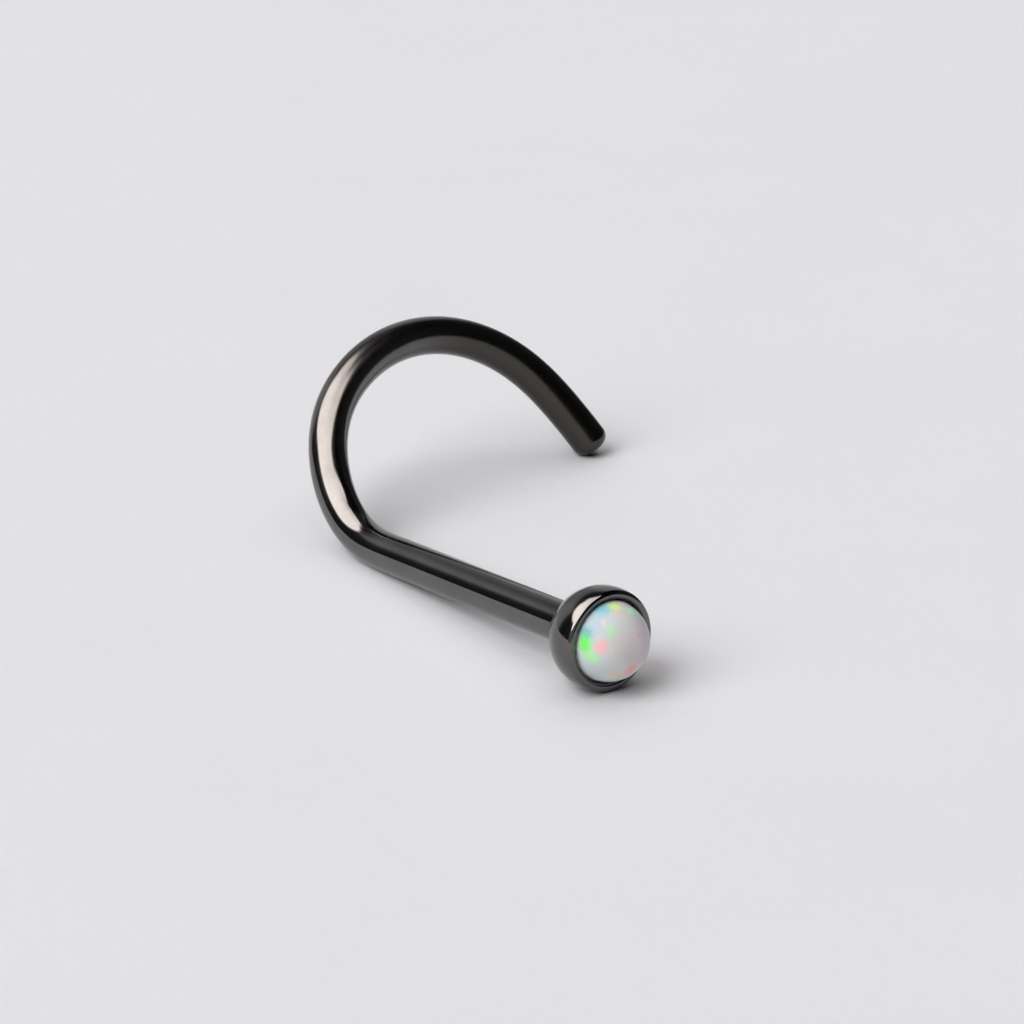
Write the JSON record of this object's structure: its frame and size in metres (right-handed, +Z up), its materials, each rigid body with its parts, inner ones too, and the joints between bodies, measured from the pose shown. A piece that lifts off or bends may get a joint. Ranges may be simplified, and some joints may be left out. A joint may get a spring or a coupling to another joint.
{
  "type": "nose stud",
  "caption": "Nose screw: a round wire bent from a straight post into an open hook, with a ball-shaped cup soldered to its end that holds a domed white opal.",
  "frame": {"origin": "on the surface that the stud rests on, under the middle of its bounding box", "axes": "+Z up from that surface. The straight post lies over the X axis's direction, with the head towards +X and dipping by 4.6 degrees at the bend. The hook stands up at the -X end and runs over to its tip at +Y."},
  "size_m": [0.0122, 0.0086, 0.0036],
  "materials": {
    "black_metal": "polished black coated steel",
    "opal": "polished, milky white with a play of colour"
  },
  "bodies": {
    "root": {"wire_and_cup": "black_metal", "opal_cabochon": "opal"}
  },
  "joints": []
}
